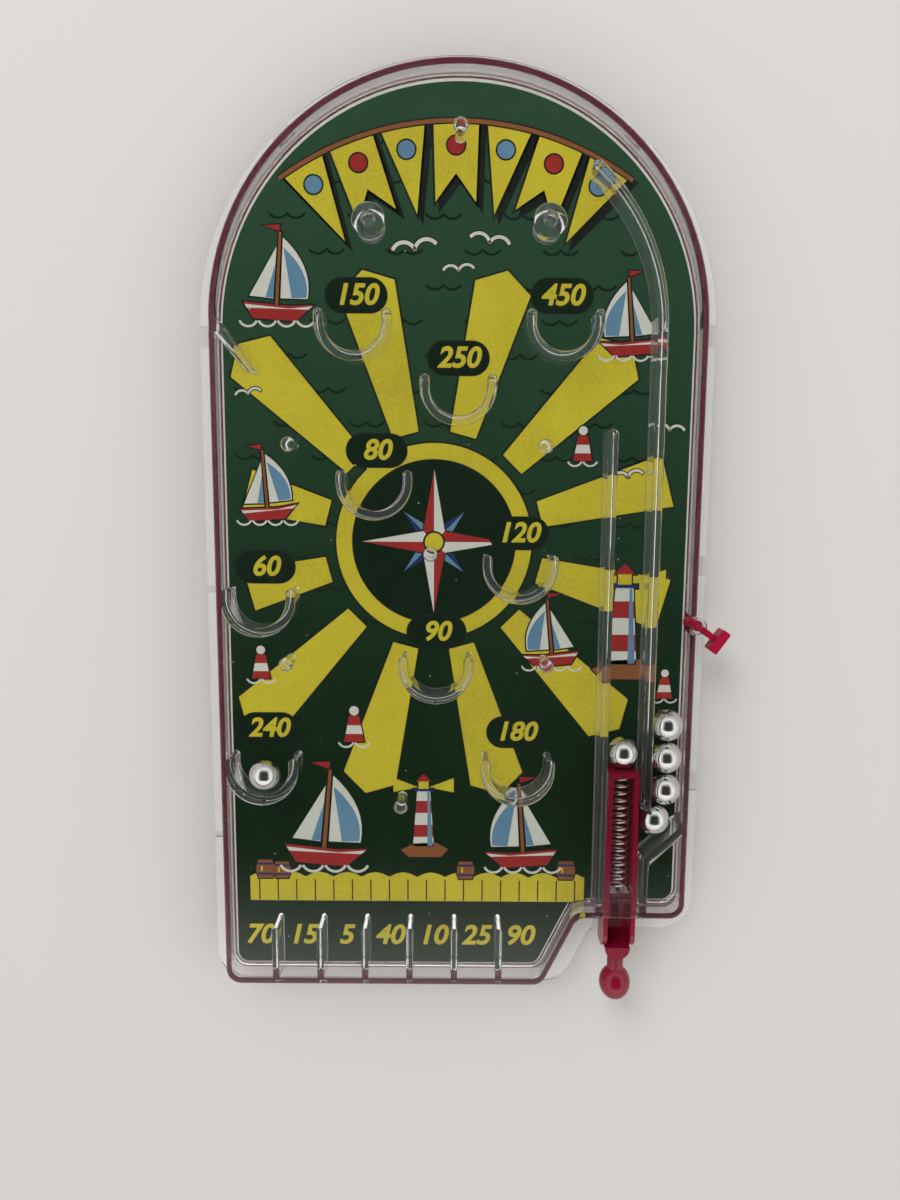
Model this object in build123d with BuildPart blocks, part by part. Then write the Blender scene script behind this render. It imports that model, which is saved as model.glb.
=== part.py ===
"""Tabletop pinball game: a red tray, a printed card and a clear moulded cover, with a sprung
plunger, a gate lever and loose steel balls. The game lies on its back: X runs across the board,
Y up the board towards the round top, Z out of the board towards the player.
Millimetres; the origin is on the underside, midway along the straight and round outline."""

import os
from math import atan2, cos, degrees, pi, radians, sqrt, tan

from build123d import *

# Driving dimensions: the outline of the case at the foot of its clear wall
case_width = 145.6
dome_y = 64.7
bottom_y = -137.8
notch_y = -115.5
slant_inset = 16.9
slant_lean = 25.8
corner_radius = 6.0
notch_corner_radius = 3.0

# Heights of the stacked layers
base_height = 8.0
deck_thick = 1.8
skirt_thick = 1.8
base_lip = 0.9
base_notch_lip = 1.8
card_thick = 0.6
card_gap = 0.4
ball_room = 11.0
plate_thick = 2.0
foot_gap = 0.3

# Clear cover
wall_thick = 1.6
wall_draft = 6.0
rim_round = 0.6
flange_reach = 4.2
flange_notch_reach = 8.0
flange_thick = 1.6
flange_notch_depth = 2.7
flange_notch_wide = 6.0
flange_notch_narrow = 2.0
flange_notches_left = (62.7, -13.0, -92.3)
flange_notches_right = (63.7, -4.8, -73.7)
dome_notch_angles = (47.0, 133.0)

# Ribs under the deck of the tray
rib_thick = 1.5
rib_spacing = 46.0
rib_cross_count = 5
rib_long_count = 3

# Balls
ball_dia = 10.0
ball_gap = 0.2
queue_straight_count = 3

# Rails that hang from the cover
rail_thick = 2.6
lane_clearance = 0.7
lane_wall_top_y = 34.5
divider_low_y = -78.0
divider_sweep = 48.5
ledge_corner_y = -96.7
ledge_rise = 44.4
deflector_thick = 2.2
deflector_top_y = 68.2
deflector_reach = 12.2
deflector_drop = 15.6

# Scoring cups: one shared section; the two side cups keep their distance from the left wall
side_cup_inset = 13.5
cup_mean_radius = 9.8
cup_arm = 2.0
cup_thick = 2.4
loaded_cup_index = 7

# Bins along the bottom
bin_edge_left = 16.8
bin_edge_right = 14.4
bin_count = 6
bin_thick = 2.0
bin_tip_y = -118.6

# Pegs and the two stout posts; those in the dome keep their distance from its top
peg_spots = (
    (-49.5, 31.0),
    (25.7, 30.8),
    (-7.9, -0.9),
    (-51.2, -34.4),
    (27.2, -34.4),
    (-16.7, -78.8),
)
top_peg_x = 0.2
top_peg_inset = 18.7
peg_dia = 3.8
peg_tip_dia = 3.0
post_x = 25.7
post_inset = 43.9
post_dia = 9.1
post_tip_dia = 8.4
post_core_dia = 4.6
post_core_tip_dia = 2.7
post_core_depth = 5.0

# Plunger
head_y = -68.0
plunger_side_gap = 0.3
plunger_taper = 0.9
plunger_floor = 1.5
plunger_rail = 1.4
plunger_head = 1.6
plunger_top_gap = 0.8
plunger_round = 0.4
rail_end_round = 5.0
plunger_out_y = -126.2
tab_radius = 4.0
tab_drop = 1.6
stem_dia = 5.2
stem_length = 3.4
knob_dia = 10.0
knob_length = 11.4
stop_y = -107.8
stop_slot = 1.3
stop_side_gap = 0.2

# Spring
spring_dia = 5.8
spring_wire = 0.6
spring_turns = 16
spring_end_gap = 0.3

# Gate lever
gate_y = -21.9
gate_slot = 5.4
gate_pivot_in = 0.7
gate_barrel_dia = 3.2
gate_pin_dia = 2.0
gate_pin_depth = 1.2
gate_pin_gap = 0.08
gate_end_gap = 0.3
gate_arm_angle = -35.0
gate_arm_length = 8.3
gate_arm_wide = 2.0
gate_arm_thick = 3.0
gate_head_long = 7.6
gate_head_wide = 3.0
gate_head_thick = 5.0
gate_head_round = 0.6
gate_finger_wide = 1.4
gate_finger_reach = 1.0
gate_ear_wall = 1.4
gate_slot_gap = 0.4

# Levels and places that follow from the dimensions
half_width = case_width / 2
dome_top_y = dome_y + half_width
top_peg_y = dome_top_y - top_peg_inset
post_y = dome_top_y - post_inset
ball_radius = ball_dia / 2
card_top = base_height + card_thick
plate_under = card_top + ball_room
cover_top = plate_under + plate_thick
rail_foot = card_top + foot_gap
rail_height = plate_under - rail_foot
lean = radians(slant_lean)
draft = tan(radians(wall_draft))
ball_z = card_top + ball_gap + ball_radius
case_length = dome_top_y - bottom_y
inner_at_ball = half_width - wall_thick - (ball_z - base_height) * draft

lane_width = ball_dia + lane_clearance
divider_x = inner_at_ball - lane_width - rail_thick / 2
lane_right = divider_x - rail_thick / 2
lane_x = lane_right - lane_width / 2
lane_wall_x = lane_right - lane_width - rail_thick / 2
slant_x = lane_wall_x - slant_inset

plunger_width = lane_width - 2 * plunger_side_gap
plunger_head_width = plunger_width - plunger_taper
plunger_low = card_top + foot_gap
plunger_high = plate_under - plunger_top_gap
channel_floor = plunger_low + plunger_floor
stem_z = (plunger_low + plunger_high) / 2
knob_y = plunger_out_y - tab_radius - stem_length - knob_length / 2
spring_z = channel_floor + spring_dia / 2 + spring_end_gap
gate_x = half_width - gate_pivot_in
gate_z = ball_z
ledge_turn = radians(ledge_rise)
bin_first_x = bin_edge_left - half_width
bin_pitch = (slant_x - bin_edge_right - bin_first_x) / (bin_count - 1)
side_cup_x = side_cup_inset - half_width

# Centres of the cups' half rings, from the top of the board down
cup_centres = (
    (-30.4, 66.0),
    (30.7, 66.2),
    (0.1, 47.8),
    (-24.5, 20.2),
    (18.9, -4.5),
    (side_cup_x, -15.0),
    (-6.1, -35.1),
    (side_cup_x, -67.2),
    (19.1, -67.2),
)


def case_outline(level, grow, notch_grow):
    """The case outline on a level, moved out by grow, and by notch_grow along the plunger notch."""
    side = half_width + grow
    low = bottom_y - grow
    shelf = notch_y - notch_grow
    slant_at = slant_x + notch_grow / cos(lean)
    slant_low = slant_at + (low - bottom_y) * tan(lean)
    slant_high = slant_at + (shelf - bottom_y) * tan(lean)
    with BuildSketch(Plane.XY.offset(level)) as outline:
        with BuildLine():
            Polyline((-side, dome_y), (-side, low), (slant_low, low), (slant_high, shelf))
            Polyline((slant_high, shelf), (side, shelf), (side, dome_y))
            RadiusArc((side, dome_y), (-side, dome_y), -side)
        make_face()
        fillet(outline.vertices().sort_by_distance((side, shelf))[0], corner_radius + grow)
        fillet(outline.vertices().sort_by_distance((slant_high, shelf))[0], notch_corner_radius)
        fillet(outline.vertices().group_by(Axis.Y)[0], corner_radius + grow)
    return outline.sketch


def rail_plan(thick, *points):
    """A rail of straight runs with round ends and corners, on the level of the rails' feet."""
    with BuildSketch(Plane.XY.offset(rail_foot)) as plan:
        for start, end in zip(points, points[1:]):
            run = Vector(*end) - Vector(*start)
            with Locations((Vector(*start) + Vector(*end)) * 0.5):
                SlotCenterToCenter(run.length, thick, rotation=degrees(atan2(run.Y, run.X)))
    return plan.sketch


def save(piece, name):
    """Names a finished piece and writes it to its own file."""
    piece.part.label = name
    export_step(piece.part, f"parts/{name}.step")


os.makedirs("parts", exist_ok=True)

# Red tray: a deck that carries the card, a skirt that it stands on, and ribs under the deck
with BuildPart() as base_tray:
    extrude(case_outline(0, base_lip, base_notch_lip), base_height)
    extrude(
        case_outline(0, base_lip - skirt_thick, base_notch_lip - skirt_thick),
        base_height - deck_thick,
        mode=Mode.SUBTRACT,
    )
    with BuildSketch():
        with GridLocations(0, rib_spacing, 1, rib_cross_count):
            Rectangle(case_width, rib_thick)
        with GridLocations(rib_spacing, 0, rib_long_count, 1):
            Rectangle(rib_thick, 2 * case_length)
        add(case_outline(0, base_lip - skirt_thick, base_notch_lip - skirt_thick), mode=Mode.INTERSECT)
    extrude(amount=base_height - deck_thick)
    with Locations((gate_x, gate_y, base_height)):
        Hole(gate_pin_dia / 2 + gate_pin_gap, depth=gate_pin_depth + gate_end_gap)
save(base_tray, "base_tray")

# Printed card that lies on the deck, inside the foot of the clear wall
with BuildPart() as playfield_card:
    extrude(case_outline(base_height, -wall_thick - card_gap, -wall_thick - card_gap), card_thick)
save(playfield_card, "playfield_card")

# The room under the cover, which trims every rail that reaches the wall
with BuildPart() as ball_space:
    extrude(case_outline(base_height, -wall_thick, -wall_thick), plate_under - base_height, taper=wall_draft)

# Tapered recess that cores each post from the front
with BuildPart() as post_core:
    with Locations((-post_x, post_y, cover_top), (post_x, post_y, cover_top)):
        Cone(
            post_core_tip_dia / 2,
            post_core_dia / 2,
            post_core_depth,
            align=(Align.CENTER, Align.CENTER, Align.MAX),
        )

# Clear cover: front plate, drafted wall and a flange that overhangs the tray
with BuildPart() as clear_cover:
    extrude(case_outline(base_height, 0, 0), cover_top - base_height, taper=wall_draft)
    fillet(clear_cover.faces().sort_by(Axis.Z)[-1].edges(), rim_round)
    extrude(case_outline(base_height, flange_reach, flange_notch_reach), flange_thick)
    notch_x = half_width + flange_reach
    for side, places in ((-1, flange_notches_left), (1, flange_notches_right)):
        for place in places:
            wide = flange_notch_wide if side > 0 or place > 0 else flange_notch_narrow
            with Locations((side * notch_x, place, base_height)):
                Box(
                    2 * flange_notch_depth,
                    wide,
                    flange_thick,
                    align=(Align.CENTER, Align.CENTER, Align.MIN),
                    mode=Mode.SUBTRACT,
                )
    for angle in dome_notch_angles:
        spot = Vector(notch_x, 0).rotate(Axis.Z, angle) + Vector(0, dome_y, base_height)
        with Locations(Location(spot, (0, 0, angle))):
            Box(
                2 * flange_notch_depth,
                flange_notch_wide,
                flange_thick,
                align=(Align.CENTER, Align.CENTER, Align.MIN),
                mode=Mode.SUBTRACT,
            )
    add(ball_space.part, mode=Mode.SUBTRACT)
    # Way out for the plunger, wider through the flange
    with Locations((lane_x, notch_y, base_height)):
        Box(
            lane_width,
            4 * wall_thick,
            plate_under - base_height,
            align=(Align.CENTER, Align.CENTER, Align.MIN),
            mode=Mode.SUBTRACT,
        )
        Box(
            lane_width + 2 * plunger_rail,
            2 * flange_notch_reach,
            flange_thick,
            align=(Align.CENTER, Align.MAX, Align.MIN),
            mode=Mode.SUBTRACT,
        )
    # Two blocks that the foot of the spring bears on
    stop_width = (plunger_head_width - 2 * plunger_rail - stop_slot) / 2 - stop_side_gap
    stop_offset = (stop_slot + stop_width) / 2
    stop_height = plate_under - channel_floor - foot_gap
    with Locations((lane_x - stop_offset, stop_y, plate_under), (lane_x + stop_offset, stop_y, plate_under)):
        Box(stop_width, stop_y - notch_y, stop_height, align=(Align.CENTER, Align.MAX, Align.MAX))
    # Slot in the wall for the gate lever, and the ear that holds its upper pin
    slot_out = gate_x + gate_barrel_dia / 2 + gate_slot_gap
    slot_in = inner_at_ball - wall_thick
    with Locations(((slot_in + slot_out) / 2, gate_y, base_height)):
        Box(
            slot_out - slot_in,
            gate_slot,
            plate_under - base_height,
            align=(Align.CENTER, Align.CENTER, Align.MIN),
            mode=Mode.SUBTRACT,
        )
    with Locations((gate_x, gate_y, plate_under)):
        Cylinder(gate_pin_dia / 2 + gate_ear_wall, plate_thick, align=(Align.CENTER, Align.CENTER, Align.MIN))
        Cylinder(
            gate_pin_dia / 2 + gate_pin_gap,
            gate_pin_depth + gate_end_gap,
            align=(Align.CENTER, Align.CENTER, Align.MIN),
            mode=Mode.SUBTRACT,
        )
    add(post_core.part, mode=Mode.SUBTRACT)
save(clear_cover, "clear_cover")

# Scoring cups: half rings with short arms and round ends
for number, centre in enumerate(cup_centres, 1):
    with BuildPart() as cup:
        with BuildSketch(Plane.XY.offset(rail_foot)):
            with Locations(centre):
                Circle(cup_mean_radius + cup_thick / 2)
                Circle(cup_mean_radius - cup_thick / 2, mode=Mode.SUBTRACT)
                Rectangle(
                    3 * cup_mean_radius,
                    2 * cup_mean_radius,
                    align=(Align.CENTER, Align.MIN),
                    mode=Mode.SUBTRACT,
                )
            for side in (-1, 1):
                with Locations((centre[0] + side * cup_mean_radius, centre[1])):
                    Rectangle(cup_thick, cup_arm, align=(Align.CENTER, Align.MIN))
                with Locations((centre[0] + side * cup_mean_radius, centre[1] + cup_arm)):
                    Circle(cup_thick / 2)
        extrude(amount=rail_height)
        add(ball_space.part, mode=Mode.INTERSECT)
    save(cup, f"scoring_cup_{number}")

# Left wall of the shooter lane, from its round top end to the bottom wall
with BuildPart() as lane_wall:
    extrude(rail_plan(rail_thick, (lane_wall_x, lane_wall_top_y), (lane_wall_x, notch_y)), rail_height)
    add(ball_space.part, mode=Mode.INTERSECT)
save(lane_wall, "lane_wall")

# Divider between the shooter lane and the ball queue, bent round with the dome at its top
with BuildLine() as divider_bend:
    CenterArc((0, dome_y), divider_x, 0, divider_sweep)
with BuildPart() as lane_divider:
    with BuildSketch(Plane.XY.offset(rail_foot)):
        SlotArc(divider_bend.edges()[0], rail_thick)
    extrude(amount=rail_height)
    extrude(rail_plan(rail_thick, (divider_x, dome_y), (divider_x, divider_low_y)), rail_height)
save(lane_divider, "lane_divider")

# Slanted ledge that the ball queue rests on, and the lane's right wall below it
ledge_end_y = ledge_corner_y + (half_width - divider_x) * tan(ledge_turn)
with BuildPart() as ball_ledge:
    ledge_plan = rail_plan(
        rail_thick,
        (half_width, ledge_end_y),
        (divider_x, ledge_corner_y),
        (divider_x, notch_y),
    )
    extrude(ledge_plan, rail_height)
    add(ball_space.part, mode=Mode.INTERSECT)
save(ball_ledge, "ball_ledge")

# Short deflector on the left wall, where the dome ends
with BuildPart() as entry_deflector:
    deflector_start = (-half_width, deflector_top_y)
    deflector_end = (deflector_reach - half_width, deflector_top_y - deflector_drop)
    extrude(rail_plan(deflector_thick, deflector_start, deflector_end), rail_height)
    add(ball_space.part, mode=Mode.INTERSECT)
save(entry_deflector, "entry_deflector")

# Dividers of the bins along the bottom wall
with BuildPart() as bin_dividers:
    for place in range(bin_count):
        bin_x = bin_first_x + place * bin_pitch
        extrude(rail_plan(bin_thick, (bin_x, bin_tip_y - bin_thick / 2), (bin_x, bottom_y)), rail_height)
    add(ball_space.part, mode=Mode.INTERSECT)
save(bin_dividers, "bin_dividers")

# Pegs that the balls bounce off
with BuildPart() as pegs:
    for spot in ((top_peg_x, top_peg_y), *peg_spots):
        with Locations((*spot, rail_foot)):
            Cone(peg_tip_dia / 2, peg_dia / 2, rail_height, align=(Align.CENTER, Align.CENTER, Align.MIN))
save(pegs, "pegs")

# Two stout posts that keep the front plate off the balls
with BuildPart() as posts:
    with Locations((-post_x, post_y, rail_foot), (post_x, post_y, rail_foot)):
        Cone(post_tip_dia / 2, post_dia / 2, rail_height, align=(Align.CENTER, Align.CENTER, Align.MIN))
    add(post_core.part, mode=Mode.SUBTRACT)
save(posts, "posts")


def plunger_plan(level, inset, front):
    """The tapered plan of the plunger on a level, moved in by inset, from front to its open end."""
    narrow = plunger_head_width / 2 - inset
    wide = plunger_width / 2 - inset
    with BuildSketch(Plane.XY.offset(level)) as plan:
        with BuildLine():
            Polyline(
                (lane_x - narrow, front),
                (lane_x + narrow, front),
                (lane_x + wide, plunger_out_y),
                (lane_x - wide, plunger_out_y),
                close=True,
            )
        make_face()
    return plan.sketch


# Plunger: an open channel round the spring, with a striking head, an end tab, a stem and a knob
with BuildPart() as plunger:
    extrude(plunger_plan(plunger_low, 0, head_y), plunger_high - plunger_low)
    upright = plunger.edges().filter_by(Axis.Z)
    fillet(upright.group_by(Axis.Y)[-1], plunger_round)
    fillet(plunger.edges().filter_by(Axis.X).group_by(Axis.Y)[0].sort_by(Axis.Z)[-1], rail_end_round)
    extrude(
        plunger_plan(channel_floor, plunger_rail, head_y - plunger_head),
        plunger_high - channel_floor,
        mode=Mode.SUBTRACT,
    )
    with BuildSketch(Plane.XY.offset(plunger_low)):
        with Locations((lane_x, plunger_out_y)):
            Circle(tab_radius)
            Rectangle(2 * tab_radius, tab_radius, align=(Align.CENTER, Align.MIN), mode=Mode.SUBTRACT)
    extrude(amount=plunger_high - tab_drop - plunger_low)
    with BuildSketch(Plane.XY.offset(stem_z)):
        with Locations((lane_x, knob_y)):
            Ellipse(knob_dia / 2, knob_length / 2)
            Rectangle(knob_dia, knob_length, align=(Align.MAX, Align.CENTER), mode=Mode.SUBTRACT)
        with Locations((lane_x, plunger_out_y - tab_radius / 2)):
            Rectangle(stem_dia / 2, plunger_out_y - tab_radius / 2 - knob_y, align=(Align.MIN, Align.MAX))
    revolve(axis=Axis((lane_x, 0, stem_z), (0, 1, 0)))
save(plunger, "plunger")

# Spring: one wire along a helix, each half turn as two arcs that share their tangents
coil_start = head_y - plunger_head - spring_end_gap - spring_wire / 2
coil_end = stop_y + spring_end_gap + spring_wire / 2
coil_radius = (spring_dia - spring_wire) / 2
half_turns = 2 * spring_turns
half_drop = (coil_start - coil_end) / half_turns
coil_slope = Vector(0, -half_drop, pi * coil_radius).normalized()
coil_points = []
coil_ways = []
for step in range(half_turns + 1):
    side = 1 if step % 2 == 0 else -1
    coil_points.append(Vector(lane_x + side * coil_radius, coil_start - step * half_drop, spring_z))
    coil_ways.append(Vector(0, coil_slope.Y, side * coil_slope.Z))
with BuildPart() as plunger_spring:
    with BuildLine() as coil:
        for step in range(half_turns):
            span = coil_points[step + 1] - coil_points[step]
            bend = 1 - coil_ways[step].dot(coil_ways[step + 1])
            along = span.dot(coil_ways[step] + coil_ways[step + 1])
            reach = (sqrt(along**2 + 2 * bend * span.dot(span)) - along) / (2 * bend)
            first = coil_points[step] + coil_ways[step] * reach
            second = coil_points[step + 1] - coil_ways[step + 1] * reach
            joint = (first + second) * 0.5
            TangentArc(coil_points[step], joint, tangent=coil_ways[step])
            TangentArc(joint, coil_points[step + 1], tangent=second - first)
    with BuildSketch(Plane(origin=coil_points[0], x_dir=(1, 0, 0), z_dir=coil_ways[0])):
        Circle(spring_wire / 2)
    sweep()
save(plunger_spring, "plunger_spring")

# Least gap of the spring to itself, on points an eighth of a turn apart
coil_path = coil.wires()[0]
coil_steps = 8 * spring_turns
coil_dots = [coil_path.position_at(step / coil_steps) for step in range(coil_steps + 1)]
coil_spaces = []
for place, dot in enumerate(coil_dots):
    for other in coil_dots[place + 4 :]:
        coil_spaces.append((other - dot).length)
print(f"spring: least gap to itself {min(coil_spaces) - spring_wire:.2f} mm")

# Side lever: a barrel with two pins, an arm with a cross head outside and a short finger inside
barrel_low = card_top + gate_end_gap
barrel_high = plate_under - gate_end_gap
with BuildPart() as gate_lever:
    with Locations((gate_x, gate_y, barrel_low)):
        Cylinder(gate_barrel_dia / 2, barrel_high - barrel_low, align=(Align.CENTER, Align.CENTER, Align.MIN))
    with Locations((gate_x, gate_y, base_height - gate_pin_depth)):
        Cylinder(
            gate_pin_dia / 2,
            plate_under - base_height + 2 * gate_pin_depth,
            align=(Align.CENTER, Align.CENTER, Align.MIN),
        )
    with Locations(Location((gate_x, gate_y, gate_z), (0, 0, gate_arm_angle))):
        Box(
            gate_arm_length + gate_head_wide / 2,
            gate_arm_wide,
            gate_arm_thick,
            align=(Align.MIN, Align.CENTER, Align.CENTER),
        )
        with Locations((gate_arm_length + gate_head_wide / 2, 0)):
            Box(gate_head_wide, gate_head_long, gate_head_thick)
    upright = gate_lever.edges().filter_by(Axis.Z)
    fillet([edge for edge in upright if abs(edge.length - gate_head_thick) < gate_pin_gap], gate_head_round)
    with Locations((gate_x, gate_y, gate_z)):
        Box(
            gate_x - inner_at_ball + gate_finger_reach,
            gate_finger_wide,
            gate_arm_thick,
            align=(Align.MAX, Align.CENTER, Align.CENTER),
        )
save(gate_lever, "gate_lever")

# Balls: one on the plunger, a queue that leans on the right wall and the ledge, one in a cup
ball_step = ball_dia + ball_gap
low_x = lane_x + plunger_width / 2 + ball_gap + ball_radius
low_y = ledge_corner_y + (low_x - divider_x) * tan(ledge_turn)
low_y += (rail_thick / 2 + ball_gap + ball_radius) / cos(ledge_turn)
queue_x = inner_at_ball - ball_gap - ball_radius
queue_low_y = low_y + sqrt(ball_step**2 - (queue_x - low_x) ** 2)
ball_spots = [(lane_right - ball_gap - ball_radius, head_y + ball_gap + ball_radius)]
for place in reversed(range(queue_straight_count)):
    ball_spots.append((queue_x, queue_low_y + place * ball_step))
ball_spots.append((low_x, low_y))
cup_x, cup_y = cup_centres[loaded_cup_index]
ball_spots.append((cup_x, cup_y - cup_mean_radius + cup_thick / 2 + ball_gap + ball_radius))
for number, spot in enumerate(ball_spots, 1):
    with BuildPart() as ball:
        with Locations((*spot, ball_z)):
            Sphere(ball_radius)
    save(ball, f"ball_{number}")
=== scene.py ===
from math import cos, pi, radians, sin

import bmesh
import bpy
from mathutils import Matrix, Vector
from mathutils.bvhtree import BVHTree


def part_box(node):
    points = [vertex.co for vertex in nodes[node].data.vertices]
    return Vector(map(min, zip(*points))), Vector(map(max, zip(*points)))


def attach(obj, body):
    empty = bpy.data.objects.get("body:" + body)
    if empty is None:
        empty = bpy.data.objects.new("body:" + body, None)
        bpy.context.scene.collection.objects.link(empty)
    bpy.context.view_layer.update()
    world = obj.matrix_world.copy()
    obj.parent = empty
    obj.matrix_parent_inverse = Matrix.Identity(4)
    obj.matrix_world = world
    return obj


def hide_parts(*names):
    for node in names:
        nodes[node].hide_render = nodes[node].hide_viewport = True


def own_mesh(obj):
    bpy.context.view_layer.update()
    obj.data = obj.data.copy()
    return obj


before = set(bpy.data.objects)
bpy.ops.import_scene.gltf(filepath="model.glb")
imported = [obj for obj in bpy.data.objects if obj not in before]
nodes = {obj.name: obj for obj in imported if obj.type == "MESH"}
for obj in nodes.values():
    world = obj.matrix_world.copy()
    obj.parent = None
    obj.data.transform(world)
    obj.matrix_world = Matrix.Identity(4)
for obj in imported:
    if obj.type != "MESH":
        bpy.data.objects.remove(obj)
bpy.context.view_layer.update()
scene = bpy.context.scene
scene.view_settings.view_transform = "Standard"
mm = 0.001
tiny = 1e-6  # lengths under this count as none
print("frame loaded:", len(nodes), "nodes")


# node helpers

def addNode(tree, kind, place, **values):
    node = tree.nodes.new(kind)
    node.location = place
    for key, value in values.items():
        if hasattr(node, key):
            setattr(node, key, value)
        else:
            node.inputs[key.replace("_", " ")].default_value = value
    return node


def wire(tree, source, output, target, entry):
    tree.links.new(source.outputs[output], target.inputs[entry])


def newGroup(name, takes, gives):
    group = bpy.data.node_groups.new(name, "ShaderNodeTree")
    for label, kind, value in takes:
        socket = group.interface.new_socket(label, in_out="INPUT", socket_type=kind)
        socket.default_value = value
    for label, kind in gives:
        group.interface.new_socket(label, in_out="OUTPUT", socket_type=kind)
    start = addNode(group, "NodeGroupInput", (-700, 0))
    end = addNode(group, "NodeGroupOutput", (600, 0))
    return group, start, end


def placeGroup(tree, group, place, **values):
    node = addNode(tree, "ShaderNodeGroup", place, node_tree=group)
    for label, value in values.items():
        node.inputs[label].default_value = value
    return node


def newMaterial(name, **plain):
    material = bpy.data.materials.new(name)
    material.use_nodes = True
    tree = material.node_tree
    tree.nodes.clear()
    out = addNode(tree, "ShaderNodeOutputMaterial", (700, 0))
    shader = addNode(tree, "ShaderNodeBsdfPrincipled", (400, 0))
    for label, value in plain.items():
        shader.inputs[label].default_value = value
    wire(tree, shader, "BSDF", out, "Surface")
    return material, tree, shader


# shared effects

def buildMouldGrain():  # slow sheen changes of moulded plastic and metal
    group, start, end = newGroup(
        "mouldGrain",
        [
            ("Scale", "NodeSocketFloat", 300.0),
            ("Low", "NodeSocketFloat", 0.1),
            ("High", "NodeSocketFloat", 0.3),
        ],
        [("Rough", "NodeSocketFloat"), ("Height", "NodeSocketFloat")],
    )
    where = addNode(group, "ShaderNodeTexCoord", (-700, 300))
    fine = addNode(group, "ShaderNodeTexNoise", (-400, 150), Detail=5.0, Roughness=0.6)
    spread = addNode(group, "ShaderNodeMapRange", (0, 100), From_Min=0.3, From_Max=0.7)
    wire(group, where, "Object", fine, "Vector")
    wire(group, start, "Scale", fine, "Scale")
    wire(group, fine, "Fac", spread, "Value")
    wire(group, start, "Low", spread, "To Min")
    wire(group, start, "High", spread, "To Max")
    wire(group, spread, "Result", end, "Rough")
    wire(group, fine, "Fac", end, "Height")
    return group


def buildHandScuffs():  # thin rubbed lines from years of handling
    group, start, end = newGroup(
        "handScuffs",
        [("Scale", "NodeSocketFloat", 60.0), ("Amount", "NodeSocketFloat", 0.5)],
        [("Mask", "NodeSocketFloat")],
    )
    where = addNode(group, "ShaderNodeTexCoord", (-900, 300))
    lines = []
    stretch = (1.0, 14.0, 6.0)  # the streaks run long in X
    for turn, drop in ((25.0, 0), (-40.0, -320)):
        lay = addNode(group, "ShaderNodeMapping", (-650, drop), Rotation=(0, 0, radians(turn)), Scale=stretch)
        streak = addNode(group, "ShaderNodeTexNoise", (-400, drop), Detail=3.0)
        thin = addNode(group, "ShaderNodeMapRange", (-150, drop), From_Min=0.66, From_Max=0.74)
        wire(group, where, "Object", lay, "Vector")
        wire(group, lay, "Vector", streak, "Vector")
        wire(group, start, "Scale", streak, "Scale")
        wire(group, streak, "Fac", thin, "Value")
        lines.append(thin)
    both = addNode(group, "ShaderNodeMath", (100, 0), operation="MAXIMUM")
    scaled = addNode(group, "ShaderNodeMath", (320, 0), operation="MULTIPLY")
    wire(group, lines[0], "Result", both, 0)
    wire(group, lines[1], "Result", both, 1)
    wire(group, both, "Value", scaled, 0)
    wire(group, start, "Amount", scaled, 1)
    wire(group, scaled, "Value", end, "Mask")
    return group


def buildDustSpecks():  # loose pale specks
    group, start, end = newGroup(
        "dustSpecks",
        [("Scale", "NodeSocketFloat", 240.0), ("Size", "NodeSocketFloat", 0.09)],
        [("Mask", "NodeSocketFloat")],
    )
    where = addNode(group, "ShaderNodeTexCoord", (-800, 200))
    cells = addNode(group, "ShaderNodeTexVoronoi", (-500, 0))
    pick = addNode(group, "ShaderNodeSeparateColor", (-250, -150))
    few = addNode(group, "ShaderNodeMath", (0, -150), operation="GREATER_THAN")
    few.inputs[1].default_value = 0.86  # about one cell in seven has a speck
    near = addNode(group, "ShaderNodeMath", (0, 80), operation="LESS_THAN")
    both = addNode(group, "ShaderNodeMath", (250, 0), operation="MULTIPLY")
    wire(group, where, "Object", cells, "Vector")
    wire(group, start, "Scale", cells, "Scale")
    wire(group, cells, "Color", pick, "Color")
    wire(group, pick, "Red", few, 0)
    wire(group, cells, "Distance", near, 0)
    wire(group, start, "Size", near, 1)
    wire(group, near, "Value", both, 0)
    wire(group, few, "Value", both, 1)
    wire(group, both, "Value", end, "Mask")
    return group


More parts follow.
